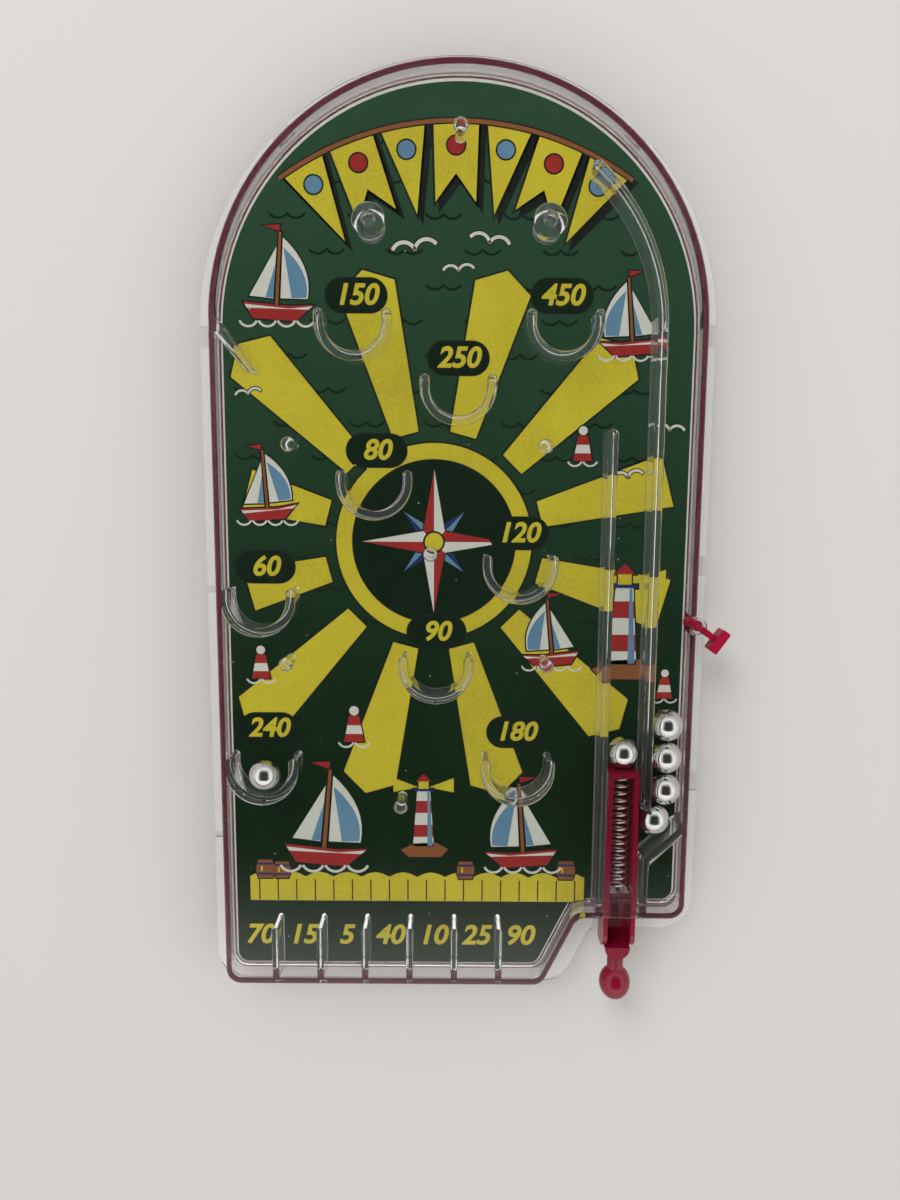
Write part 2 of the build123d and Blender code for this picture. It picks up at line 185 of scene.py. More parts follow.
def buildPrintGrain(dust):  # uneven ink on board, with specks of dust on it
    group, start, end = newGroup(
        "printGrain",
        [
            ("Ink", "NodeSocketColor", (1, 1, 1, 1)),
            ("Thin Ink", "NodeSocketColor", (1, 1, 1, 1)),
            ("Speck", "NodeSocketColor", (0.6, 0.6, 0.55, 1)),
        ],
        [("Colour", "NodeSocketColor"), ("Rough", "NodeSocketFloat")],
    )
    where = addNode(group, "ShaderNodeTexCoord", (-900, 300))
    cloud = addNode(group, "ShaderNodeTexNoise", (-650, 200), Scale=55.0, Detail=6.0)
    tooth = addNode(group, "ShaderNodeTexNoise", (-650, -50), Scale=1800.0, Detail=2.0)
    blend = addNode(group, "ShaderNodeMath", (-420, 100), operation="MULTIPLY")
    spread = addNode(group, "ShaderNodeMapRange", (-220, 100), From_Min=0.14, From_Max=0.42)
    uneven = addNode(group, "ShaderNodeMix", (0, 0), data_type="RGBA")
    specks = placeGroup(group, dust, (0, 260), Scale=260.0, Size=0.055)
    dusty = addNode(group, "ShaderNodeMix", (280, 60), data_type="RGBA")
    sheen = addNode(group, "ShaderNodeMapRange", (280, -220), To_Min=0.34, To_Max=0.5)
    wire(group, where, "Object", cloud, "Vector")
    wire(group, where, "Object", tooth, "Vector")
    wire(group, cloud, "Fac", blend, 0)
    wire(group, tooth, "Fac", blend, 1)
    wire(group, blend, "Value", spread, "Value")
    wire(group, spread, "Result", uneven, "Factor")
    wire(group, start, "Ink", uneven, "A")
    wire(group, start, "Thin Ink", uneven, "B")
    wire(group, specks, "Mask", dusty, "Factor")
    wire(group, uneven, "Result", dusty, "A")
    wire(group, start, "Speck", dusty, "B")
    wire(group, cloud, "Fac", sheen, "Value")
    wire(group, dusty, "Result", end, "Colour")
    wire(group, sheen, "Result", end, "Rough")
    return group


mouldGrain = buildMouldGrain()
handScuffs = buildHandScuffs()
dustSpecks = buildDustSpecks()
printGrain = buildPrintGrain(dustSpecks)
print("shared effects built")


# finishes

def addRoughness(tree, shader, look, grainScale, scuffScale):
    grain = placeGroup(tree, mouldGrain, (-500, -150), Scale=grainScale, Low=look["low"], High=look["high"])
    scuffs = placeGroup(tree, handScuffs, (-500, -400), Scale=scuffScale, Amount=look["scuff"])
    total = addNode(tree, "ShaderNodeMath", (-200, -250), operation="ADD")
    total.use_clamp = True
    wire(tree, grain, "Rough", total, 0)
    wire(tree, scuffs, "Mask", total, 1)
    wire(tree, total, "Value", shader, "Roughness")
    return grain


redLook = {
    "name": "redPlastic",
    "deep": (0.165, 0.003, 0.017, 1),
    "bright": (0.205, 0.004, 0.021, 1),
    "low": 0.09,
    "high": 0.17,
    "bump": 0.02,
    "scuff": 0.16,
}
leverLook = {
    **redLook,
    "name": "leverPlastic",
    "deep": (0.275, 0.007, 0.029, 1),
    "bright": (0.325, 0.009, 0.035, 1),
}
# painted shade: the tray's red is set darker than the other red pieces, for the shade it lies in under the
# clear wall
trayLook = {
    **redLook,
    "name": "trayPlastic",
    "deep": (0.108, 0.002, 0.018, 1),
    "bright": (0.130, 0.003, 0.021, 1),
    "low": 0.20,
    "high": 0.30,
    "bump": 0.015,
}
redGloss = {  # the same on every red piece
    "IOR": 1.5,
    "Specular IOR Level": 0.32,
    "Coat Weight": 0.1,
    "Coat Roughness": 0.07,
    "Subsurface Weight": 0.08,
    "Subsurface Scale": 0.002,
    "Subsurface Radius": (1.0, 0.12, 0.1),
}


def makeRedPlastic(look):
    material, tree, shader = newMaterial(look["name"], **redGloss)
    grain = addRoughness(tree, shader, look, grainScale=420.0, scuffScale=55.0)
    flow = placeGroup(tree, mouldGrain, (-500, 200), Scale=70.0, Low=0.0, High=1.0)
    tint = addNode(tree, "ShaderNodeMix", (-150, 200), data_type="RGBA")
    tint.inputs["A"].default_value = look["deep"]
    tint.inputs["B"].default_value = look["bright"]
    bump = addNode(tree, "ShaderNodeBump", (100, -300), Strength=look["bump"], Distance=0.0002)
    wire(tree, flow, "Rough", tint, "Factor")
    wire(tree, tint, "Result", shader, "Base Color")
    wire(tree, grain, "Height", bump, "Height")
    wire(tree, bump, "Normal", shader, "Normal")
    return material


clearLook = {
    "name": "clearPlastic",
    "tint": (0.97, 0.98, 0.975, 1),
    "shade": (0.95, 0.955, 0.955, 1),
    "low": 0.0,
    "high": 0.03,
    "ior": 1.5,
    "through": 1.0,
    "scuff": 0.05,
}
milkyLook = {**clearLook, "name": "milkyPlastic", "through": 0.90, "high": 0.05}  # flange, a little cloudy
railLook = {**clearLook, "name": "railPlastic", "through": 0.975}  # cups, rails, pegs and posts
wallLook = {  # no scuffs, and a faint pink tint that is a painted reflection of the red tray
    **clearLook,
    "name": "wallPlastic",
    # painted reflection: this pink tint stands in for the tray's red seen in the clear wall
    "tint": (0.985, 0.925, 0.94, 1),
    "high": 0.008,
    "scuff": 0.0,
}


def makeClearPlastic(look):
    material, tree, shader = newMaterial(look["name"], IOR=look["ior"])
    out = shader.outputs["BSDF"].links[0].to_node
    shader.inputs["Transmission Weight"].default_value = look["through"]
    shader.inputs["Base Color"].default_value = look["tint"]
    addRoughness(tree, shader, look, grainScale=90.0, scuffScale=40.0)
    path = addNode(tree, "ShaderNodeLightPath", (150, 350))
    through = addNode(tree, "ShaderNodeBsdfTransparent", (400, 200))
    through.inputs["Color"].default_value = look["shade"]
    pick = addNode(tree, "ShaderNodeMixShader", (600, 120))
    wire(tree, path, "Is Shadow Ray", pick, "Fac")
    wire(tree, shader, "BSDF", pick, 1)
    wire(tree, through, "BSDF", pick, 2)
    wire(tree, pick, "Shader", out, "Surface")
    return material


ballLook = {"name": "ballSteel", "colour": (0.67, 0.67, 0.655, 1), "low": 0.01, "high": 0.035, "scuff": 0.05}
wireLook = {"name": "springSteel", "colour": (0.90, 0.89, 0.87, 1), "low": 0.30, "high": 0.42, "scuff": 0.08}


def makeSteel(look):
    material, tree, shader = newMaterial(look["name"], **{"Metallic": 1.0, "Base Color": look["colour"]})
    addRoughness(tree, shader, look, grainScale=260.0, scuffScale=140.0)
    return material


paleSpeck = (0.55, 0.55, 0.5, 1)


def makeInk(name, ink, thin):
    material, tree, shader = newMaterial(name, **{"IOR": 1.45, "Specular IOR Level": 0.12})
    grain = placeGroup(tree, printGrain, (-200, 0), **{"Ink": ink, "Thin Ink": thin, "Speck": paleSpeck})
    wire(tree, grain, "Colour", shader, "Base Color")
    wire(tree, grain, "Rough", shader, "Roughness")
    return material


inkColours = {  # ink, and where it printed thin
    "green": ((0.002, 0.015, 0.003, 1), (0.004, 0.020, 0.005, 1)),
    "deepGreen": ((0.003, 0.013, 0.005, 1), (0.006, 0.019, 0.008, 1)),
    "yellow": ((0.61, 0.515, 0.036, 1), (0.47, 0.39, 0.032, 1)),
    "black": ((0.008, 0.011, 0.009, 1), (0.016, 0.02, 0.017, 1)),
    "white": ((0.64, 0.64, 0.57, 1), (0.55, 0.56, 0.50, 1)),
    "red": ((0.34, 0.028, 0.026, 1), (0.27, 0.024, 0.022, 1)),
    "blue": ((0.13, 0.26, 0.38, 1), (0.10, 0.20, 0.31, 1)),
    "navy": ((0.015, 0.03, 0.11, 1), (0.022, 0.04, 0.13, 1)),
    "brown": ((0.26, 0.10, 0.035, 1), (0.20, 0.075, 0.028, 1)),
}
inks = {name: makeInk(name + "Ink", *pair) for name, pair in inkColours.items()}
groundFade = {  # the green ground is lighter towards the round top
    "ink": "green",
    "top": (0.024, 0.066, 0.035, 1),
    "from": -0.085,
    "to": 0.115,
}


def fadeGround(fade):
    tree = inks[fade["ink"]].node_tree
    shader = next(node for node in tree.nodes if node.type == "BSDF_PRINCIPLED")
    printed = next(node for node in tree.nodes if node.type == "GROUP")
    where = addNode(tree, "ShaderNodeTexCoord", (-500, 300))
    parts = addNode(tree, "ShaderNodeSeparateXYZ", (-300, 300))
    ends = {"From_Min": fade["from"], "From_Max": fade["to"]}
    along = addNode(tree, "ShaderNodeMapRange", (-100, 300), interpolation_type="SMOOTHSTEP", **ends)
    mixed = addNode(tree, "ShaderNodeMix", (150, 200), data_type="RGBA")
    mixed.inputs["B"].default_value = fade["top"]
    wire(tree, where, "Object", parts, "Vector")
    wire(tree, parts, "Y", along, "Value")
    wire(tree, along, "Result", mixed, "Factor")
    wire(tree, printed, "Colour", mixed, "A")
    wire(tree, mixed, "Result", shader, "Base Color")


fadeGround(groundFade)
redPlastic = makeRedPlastic(redLook)
leverPlastic = makeRedPlastic(leverLook)
trayPlastic = makeRedPlastic(trayLook)
clearPlastic = makeClearPlastic(clearLook)
milkyPlastic = makeClearPlastic(milkyLook)
railPlastic = makeClearPlastic(railLook)
wallPlastic = makeClearPlastic(wallLook)
ballSteel = makeSteel(ballLook)
springSteel = makeSteel(wireLook)
print("finishes built")


# piece helpers

def dress(piece, material):
    piece.data.materials.clear()
    piece.data.materials.append(material)


def newPiece(name, mesh, body):
    piece = bpy.data.objects.new(name, mesh)
    scene.collection.objects.link(piece)
    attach(piece, body)
    return piece


def shadeByAngle(mesh, angle):
    for face in mesh.polygons:
        face.use_smooth = True
    mesh.set_sharp_from_angle(angle=radians(angle))


def flattenFlats(mesh, share):  # large flat faces stay dead flat beside the small rounds
    fineness = 200  # directions within about 0.3 degrees count as one
    ways = [tuple(round(part * fineness) for part in face.normal) for face in mesh.polygons]
    areas = {}
    for face, way in zip(mesh.polygons, ways):
        areas[way] = areas.get(way, 0.0) + face.area
    for face, way in zip(mesh.polygons, ways):
        if areas[way] > share:
            face.use_smooth = False


def weldedCopy(name):
    welded = bmesh.new()
    welded.from_mesh(nodes[name].data)
    bmesh.ops.remove_doubles(welded, verts=welded.verts, dist=tiny)
    return welded


# clear cover with everything that is moulded on it, as one body of plastic

coverFinishes = {"plate": clearPlastic, "flange": milkyPlastic, "moulding": railPlastic, "wall": wallPlastic}
coverSlots = {part: place for place, part in enumerate(coverFinishes)}
coverParts = {
    "cover": "clear_cover",
    "cups": [f"scoring_cup_{number}" for number in range(1, 10)],
    "rails": ["lane_wall", "lane_divider", "ball_ledge", "entry_deflector", "bin_dividers", "pegs", "posts"],
    "touch": 0.00003,  # closer than this counts as joined
    "sink": 0.0004,  # how far a joined edge runs on into the plate or wall
    "sameWay": 0.9,  # directions with a larger cosine count as one
    "wallLean": 0.5,  # faces whose normal rises less than this stand upright
    "footRound": 0.0007,
    "footTurn": 50.0,  # edges that turn less, in degrees, aren't rounded
    "footSteps": 3,
    "flangeThick": 0.0016,
    "flangeRound": 0.0004,
    "flangeTurn": 60.0,
    "flangeSteps": 2,
    "rootRound": 0.0005,
    "rootCuts": (1.0, 0.55, 0.2),  # shares of the root's round
    "smooth": 1.0,  # facets that turn less, in degrees, become one face
    "weld": 2e-6,  # points of the joined body closer than this become one
    "flatShare": 90e-6,  # square metres of one direction that count as flat
    "sharp": 32.0,  # edges that turn more, in degrees, stay crisp
}


def nearFaces(skin, spot, parts):  # directions of the cover's faces that a point lies on
    ways = []
    for hit in skin.find_nearest_range(spot, parts["touch"]):
        normal = hit[1]
        if all(normal.dot(other) < parts["sameWay"] for other in ways):
            ways.append(normal)
    return ways


def roundEdges(shape, edges, size, steps):
    bmesh.ops.bevel(
        shape, geom=edges, offset=size, segments=steps, profile=0.5, affect="EDGES", clamp_overlap=True
    )


def roundFoot(shape, skin, parts):  # the free edges next to the card are moulded round
    level = min(vert.co.z for vert in shape.verts)
    free = []
    for side in shape.edges:
        if any(abs(vert.co.z - level) > tiny for vert in side.verts):
            continue
        if side.calc_face_angle(0) < radians(parts["footTurn"]):
            continue
        if not all(nearFaces(skin, vert.co, parts) for vert in side.verts):
            free.append(side)
    roundEdges(shape, free, parts["footRound"], parts["footSteps"])


def flareRoot(shape, skin, parts):  # the root widens in a small round where it meets the plate
    level = max(vert.co.z for vert in shape.verts)
    size = parts["rootRound"]
    for share in parts["rootCuts"]:
        whole = shape.verts[:] + shape.edges[:] + shape.faces[:]
        spot = (0, 0, level - share * size)
        bmesh.ops.bisect_plane(shape, geom=whole, plane_co=spot, plane_no=(0, 0, 1))
    moves = {}
    for vert in shape.verts:
        rise = vert.co.z - (level - size)
        walls = [face.normal for face in vert.link_faces if abs(face.normal.z) < parts["wallLean"]]
        joined = [way for way in nearFaces(skin, vert.co, parts) if abs(way.z) < parts["sameWay"]]
        if rise > tiny and walls and not joined:
            out = sum(walls, Vector())
            out.z = 0
            moves[vert] = out.normalized() * (size - max(size**2 - rise**2, 0) ** 0.5)
    for vert, shift in moves.items():
        vert.co += shift


def roundFlange(cover, parts):  # the free edges of the flange catch the light
    level = min(vert.co.z for vert in cover.verts) + parts["flangeThick"]
    free = []
    for side in cover.edges:
        onTop = all(abs(vert.co.z - level) < tiny for vert in side.verts)
        if onTop and side.is_convex and side.calc_face_angle(0) > radians(parts["flangeTurn"]):
            free.append(side)
    roundEdges(cover, free, parts["flangeRound"], parts["flangeSteps"])


def gatherMoulding(skin, parts):  # cups, rails, pegs and posts, sunk a little into what they join
    moulding = bmesh.new()
    for name in parts["cups"] + parts["rails"]:
        shape = weldedCopy(name)
        limit = radians(parts["smooth"])
        bmesh.ops.dissolve_limit(shape, angle_limit=limit, verts=shape.verts, edges=shape.edges)
        roundFoot(shape, skin, parts)
        flareRoot(shape, skin, parts)
        for face in shape.faces:
            face.material_index = coverSlots["moulding"]
        mesh = bpy.data.meshes.new(name)
        shape.to_mesh(mesh)
        shape.free()
        moulding.from_mesh(mesh)
    shifts = {}
    for vert in moulding.verts:
        shifts[vert] = sum(nearFaces(skin, vert.co, parts), Vector()) * -parts["sink"]
    for vert, shift in shifts.items():
        vert.co += shift
    return moulding


def sortFaces(cover, parts):  # the flange and the wall have finishes of their own
    flangeTop = min(vert.co.z for vert in cover.verts) + parts["flangeThick"] + tiny
    for face in cover.faces:
        if all(vert.co.z < flangeTop for vert in face.verts):
            face.material_index = coverSlots["flange"]
        elif abs(face.normal.z) < parts["wallLean"]:
            face.material_index = coverSlots["wall"]


def joinShapes(cover, moulding):
    pair = []
    for name, source in (("coverShell", cover), ("coverMoulding", moulding)):
        mesh = bpy.data.meshes.new(name)
        for material in coverFinishes.values():
            mesh.materials.append(material)
        source.to_mesh(mesh)
        source.free()
        piece = bpy.data.objects.new(name, mesh)
        scene.collection.objects.link(piece)
        pair.append(piece)
    join = pair[0].modifiers.new("join", "BOOLEAN")
    join.operation = "UNION"
    join.solver = "EXACT"
    join.material_mode = "INDEX"
    join.object = pair[1]
    graph = bpy.context.evaluated_depsgraph_get()
    mesh = bpy.data.meshes.new_from_object(pair[0].evaluated_get(graph))
    for piece in pair:
        bpy.data.objects.remove(piece)
    return mesh


def makeCover(parts):
    cover = weldedCopy(parts["cover"])
    roundFlange(cover, parts)
    moulding = gatherMoulding(BVHTree.FromBMesh(cover), parts)
    sortFaces(cover, parts)
    mesh = joinShapes(cover, moulding)
    mesh.name = "clearCover"
    joined = bmesh.new()
    joined.from_mesh(mesh)
    bmesh.ops.remove_doubles(joined, verts=joined.verts, dist=parts["weld"])
    bmesh.ops.dissolve_degenerate(joined, edges=joined.edges, dist=parts["weld"])
    bmesh.ops.triangulate(joined, faces=[face for face in joined.faces if len(face.verts) > 4])
    joined.to_mesh(mesh)
    joined.free()
    shadeByAngle(mesh, parts["sharp"])
    flattenFlats(mesh, parts["flatShare"])
    piece = newPiece("clearCover", mesh, "case")
    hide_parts(parts["cover"], *parts["cups"], *parts["rails"])
    return piece


clearCover = makeCover(coverParts)
print("clear cover joined:", len(clearCover.data.polygons), "faces")


# rigid pieces that keep their modelled shape

rigidLook = {
    "finishes": {"base_tray": trayPlastic, "plunger": redPlastic, "gate_lever": leverPlastic},
    "sharp": 32.0,
    "balls": 6,
    "ballSharp": 80.0,
}
for name, material in rigidLook["finishes"].items():
    dress(nodes[name], material)
    shadeByAngle(nodes[name].data, rigidLook["sharp"])
for number in range(1, rigidLook["balls"] + 1):
    ball = nodes[f"ball_{number}"]
    dress(ball, ballSteel)
    shadeByAngle(ball.data, rigidLook["ballSharp"])
print("tray, plunger, lever and balls dressed")


# spring, a copy of the modelled coil; the real one shortens as the plunger is pulled, but this copy keeps its
# length

springCoil = {"node": "plunger_spring", "joint": "plunger_pull", "stroke": 0.025, "sharp": 50.0}


def makeSpring(coil):
    source = weldedCopy(coil["node"])
    mesh = bpy.data.meshes.new("springCoil")
    source.to_mesh(mesh)
    source.free()
    shadeByAngle(mesh, coil["sharp"])
    piece = newPiece("springCoil", mesh, "case")
    dress(piece, springSteel)
    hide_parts(coil["node"])
    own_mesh(piece)
    return piece


makeSpring(springCoil)
print("spring placed")


# printed card: a green ground, and one thin layer of ink for each colour

cardPrint = {
    "node": "playfield_card",
    "layer": 0.010 * mm,  # one pass of ink
    "border": 0.5,  # white edge, in mm
    "low": 0.35,  # the print sits this much low on the board, in mm
    "keylines": {  # dark line round each motif, in mm
        "field": 0.55,
        "flag": 0.7,
        "boat": 0.45,
        "lighthouse": 0.45,
        "gull": 0.3,
        "buoy": 0.4,
        "barrel": 0.4,
        "plaque": 0.5,
    },
}
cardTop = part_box(cardPrint["node"])[1].z
dress(nodes[cardPrint["node"]], inks["green"])
stacks = {name: [] for name in inkColours}
figures = []


def layInk(ink, layer, outline):  # layers count passes of ink, outlines are in mm and run anticlockwise
    stacks[ink].append((layer, outline))


def panel(left, right, low, high):
    return [(left, low), (right, low), (right, high), (left, high)]


def arcPoints(centre, radius, start, sweep, steps):
    points = []
    for step in range(steps + 1):
        turn = radians(start + sweep * step / steps)
        points.append((centre[0] + radius * cos(turn), centre[1] + radius * sin(turn)))
    return points


def disc(centre, radius, steps=40):
    return arcPoints(centre, radius, 0, 360, steps)[:-1]


def swell(outline, amount):  # the same outline, moved out by amount
    sharpest = 0.4  # a point is drawn out no further than this allows
    count = len(outline)
    grown = []
    for place in range(count):
        before = Vector(outline[place - 1])
        here = Vector(outline[place])
        after = Vector(outline[(place + 1) % count])
        first = (here - before).normalized()
        second = (after - here).normalized()
        firstSide = Vector((first.y, -first.x))
        secondSide = Vector((second.y, -second.x))
        middle = firstSide + secondSide
        way = (middle if middle.length > tiny else firstSide).normalized()
        lean = max(way.dot(firstSide), sharpest)
        grown.append(tuple(here + way * (amount / lean)))
    return grown


def band(points, width):  # a ribbon along points
    left = []
    right = []
    for place, point in enumerate(points):
        before = Vector(points[max(place - 1, 0)])
        after = Vector(points[min(place + 1, len(points) - 1)])
        way = (after - before).normalized()
        side = Vector((-way.y, way.x)) * (width / 2)
        left.append(tuple(Vector(point) + side))
        right.append(tuple(Vector(point) - side))
    return right + left[::-1]


def move(outline, centre, size, turn=0.0, flip=1):
    spin = Matrix.Rotation(radians(turn), 2)
    moved = [tuple(spin @ Vector((flip * x * size, y * size)) + Vector(centre)) for x, y in outline]
    return moved if flip > 0 else moved[::-1]


def cardEdge():  # the card's own outline, in mm, anticlockwise
    facingUp = 0.9
    card = weldedCopy(cardPrint["node"])
    top = [face for face in card.faces if face.normal.z > facingUp]
    inside = set(top)
    links = {}
    for face in top:
        for loop in face.loops:
            others = [other for other in loop.edge.link_faces if other is not face]
            if not any(other in inside for other in others):
                links[loop.vert] = loop.link_loop_next.vert
    first = next(iter(links))
    outline = [first]
    while links[outline[-1]] is not first:
        outline.append(links[outline[-1]])
    points = [(vert.co.x / mm, vert.co.y / mm) for vert in outline]
    card.free()
    return points


edge = cardEdge()
farAway = 1000.0  # mm, past any edge of the card


def reachToEdge(centre, turn):  # from a point of the card to its edge, or farAway
    way = Vector((cos(turn), sin(turn)))
    best = farAway
    for place in range(len(edge)):
        start = Vector(edge[place - 1]) - Vector(centre)
        along = Vector(edge[place]) - Vector(edge[place - 1])
        cross = way.x * along.y - way.y * along.x
        if abs(cross) < 1e-9:  # the edge runs the same way
            continue
        distance = (start.x * along.y - start.y * along.x) / cross
        share = (start.x * way.y - start.y * way.x) / cross
        if distance > 0 and -tiny <= share <= 1 + tiny:
            best = min(best, distance)
    return best


def outlined(ink, layer, outline, motif):
    layInk("black", layer, swell(outline, cardPrint["keylines"][motif]))
    layInk(ink, layer + 1, outline)


# a thin white band round the green, along the card's edge
inner = [(x, y - cardPrint["low"]) for x, y in swell(edge, -cardPrint["border"])]
rings = [("white", 1, edge, inner)]

sunburst = {  # sizes in mm
    "centre": (-7.0, 2.0),
    "rays": 12,
    "inner": 33.5,
    "outer": 78.0,
    "narrow": 8.0,
    "wide": 17.0,
    "margin": 7.0,  # kept clear at the card's edge
    "point": 0.3,  # rise of a ray's tip, as a share of its width
    "ring": 30.0,
    "rim": 25.2,
    "heart": 24.7,
    "steps": 72,
}


def printSunburst(sun):
    centre = Vector(sun["centre"])
    for place in range(sun["rays"]):
        turn = 2 * pi * (place + 0.5) / sun["rays"]
        outer = min(reachToEdge(centre, turn) - sun["margin"], sun["outer"])
        way = Vector((cos(turn), sin(turn)))
        side = Vector((-way.y, way.x))
        reach = (outer - sun["inner"]) / (sun["outer"] - sun["inner"])
        grow = sun["narrow"] + (sun["wide"] - sun["narrow"]) * reach
        near = centre + way * sun["inner"]
        far = centre + way * outer
        nearHalf = side * sun["narrow"] / 2
        farHalf = side * grow / 2
        ray = [near - nearHalf, far - farHalf, far + farHalf, near + nearHalf]
        if outer == sun["outer"]:
            ray.insert(2, far + way * grow * sun["point"])
        outlined("yellow", 1, [tuple(corner) for corner in ray], "field")
    outlined("yellow", 1, disc(centre, sun["ring"], sun["steps"]), "field")
    layInk("black", 3, disc(centre, sun["rim"], sun["steps"]))
    layInk("deepGreen", 4, disc(centre, sun["heart"], sun["steps"]))


printSunburst(sunburst)

compass = {  # sizes in mm
    "centre": sunburst["centre"],
    "points": 8,
    "long": {"reach": 22.0, "broad": 4.6, "inks": ("white", "red"), "layer": 7},
    "short": {"reach": 13.0, "broad": 3.6, "inks": ("blue", "navy"), "layer": 5},
    "waist": 0.72,  # share of the breadth
    "line": 0.4,
    "hub": (3.4, 2.8),  # dark line and hub
}


def printCompass(rose):
    centre = rose["centre"]
    for place in range(rose["points"]):
        turn = 90.0 + 360.0 * place / rose["points"]
        arm = rose["short"] if place % 2 else rose["long"]
        light, dark = arm["inks"]
        layer = arm["layer"]
        waist = rose["waist"] * arm["broad"]
        tip = (arm["reach"], 0)
        whole = [(0, 0), (waist, -waist), tip, (waist, waist)]
        layInk("black", layer, move(swell(whole, rose["line"]), centre, 1.0, turn))
        layInk(light, layer + 1, move([(0, 0), (waist, -waist), tip], centre, 1.0, turn))
        layInk(dark, layer + 1, move([(0, 0), tip, (waist, waist)], centre, 1.0, turn))
    line, hub = rose["hub"]
    layInk("black", 9, disc(centre, line))
    layInk("yellow", 10, disc(centre, hub))


printCompass(compass)

bunting = {  # sizes in mm
    "centre": (-1.0, 34.0),
    "radius": 90.0,
    "start": 120.0,
    "sweep": -60.0,
    "overhang": 5.0,  # degrees of rope past the end flags
    "rope": (2.0, 1.2),  # dark line and rope
    "flags": 7,
    "wide": 13.2,
    "tall": 25.0,
    "tails": 0.9,  # tails and notch of every second flag, as shares of its size
    "notch": 0.58,
    "mark": 0.27,
    "dot": (3.0, 2.5),  # dark line and dot
    "shadow": (1.5, -1.6),
}


def printBunting(string):
    shadow = Vector(string["shadow"])
    start = string["start"] + string["overhang"]
    sweep = string["sweep"] - 2 * string["overhang"]
    rope = arcPoints(string["centre"], string["radius"], start, sweep, 60)
    for ink, layer, width in zip(("black", "brown"), (5, 6), string["rope"]):
        layInk(ink, layer, band(rope, width))
    for place in range(string["flags"]):
        turn = radians(string["start"] + string["sweep"] * place / (string["flags"] - 1))
        way = Vector((cos(turn), sin(turn)))
        half = Vector((-way.y, way.x)) * string["wide"] / 2
        drop = way * string["tall"]
        top = Vector(string["centre"]) + way * string["radius"]
        corners = [top + half, top - drop, top - half]
        if place % 2:
            left = top + (half - drop) * string["tails"]
            right = top - (half + drop) * string["tails"]
            corners[1:2] = [left, top - drop * string["notch"], right]
        flag = [tuple(corner) for corner in corners]
        shade = swell(flag, cardPrint["keylines"]["flag"])
        layInk("black", 3, [tuple(Vector(point) + shadow) for point in shade])
        outlined("yellow", 3, flag, "flag")
        mark = tuple(top - drop * string["mark"])
        tone = "red" if place % 2 else "blue"
        for ink, layer, radius in zip(("black", tone), (5, 6), string["dot"]):
            layInk(ink, layer, disc(mark, radius, 28))


printBunting(bunting)


def printFoam(centre, size, crests, radius, low, width):  # white crests side by side on a waterline
    for place in range(crests):
        crest = arcPoints((radius * (2 * place - crests + 1), low), radius, 205, 130, 8)
        layInk("white", 8, move(band(crest, width), centre, size))


def sailCurve(foot, head, clew, belly):  # a sail with a bowed outer edge
    steps = 8
    bow = (clew[0] + belly, head[1] * 0.62)  # what the edge bends towards
    points = [foot, clew]
    for step in range(1, steps):
        share = step / steps
        weights = ((1 - share) ** 2, 2 * share * (1 - share), share**2)
        x = sum(weight * point[0] for weight, point in zip(weights, (clew, bow, head)))
        y = sum(weight * point[1] for weight, point in zip(weights, (clew, bow, head)))
        points.append((x, y))
    return points + [head]


def printBoat(centre, size, flip, heel):
    hull = [(-10.5, 0.4), (-7.2, -4.4), (6.4, -4.4), (11.5, 1.0), (4.0, 0.1)]
    strake = [(-10.0, -0.3), (-9.3, -1.4), (10.0, -0.6), (11.2, 0.5), (4.0, -0.7)]
    mast = [(-0.5, 0), (0.5, 0), (0.4, 22), (-0.4, 22)]
    mainSail = sailCurve((1.1, 2.2), (0.9, 20.5), (9.6, 2.6), 1.2)
    mainShade = sailCurve((4.6, 2.5), (1.2, 17.5), (9.2, 2.9), 0.9)
    jib = [(-1.1, 2.0), (-0.9, 17.6), (-8.6, 2.3)]
    jibShade = [(-1.1, 2.2), (-1.0, 12.5), (-3.6, 2.2)]
    streamer = [(-0.3, 22.2), (-0.3, 24.2), (-5.2, 23.6)]
    main = (("red", hull), ("brown", mast), ("white", mainSail), ("white", jib), ("red", streamer))
    for ink, outline in main:
        outlined(ink, 5, move(outline, centre, size, heel, flip), "boat")
    for ink, outline in (("white", strake), ("blue", mainShade), ("blue", jibShade)):
        layInk(ink, 7, move(outline, centre, size, heel, flip))
    printFoam(centre, size, crests=4, radius=3.0, low=-3.4, width=0.7)


boats = (  # centre, size, -1 where mirrored, heel in degrees
    ((-54.0, 72.0), 0.95, 1, -4.0),
    ((52.0, 62.0), 0.85, -1, 5.0),
    ((-58.0, 12.0), 0.80, 1, 4.0),
    ((30.0, -33.0), 0.80, -1, 6.0),
    ((-42.0, -97.0), 1.20, 1, -5.0),
    ((22.0, -98.0), 1.05, -1, 4.0),
)
for centre, size, flip, heel in boats:
    printBoat(centre, size, flip, heel)


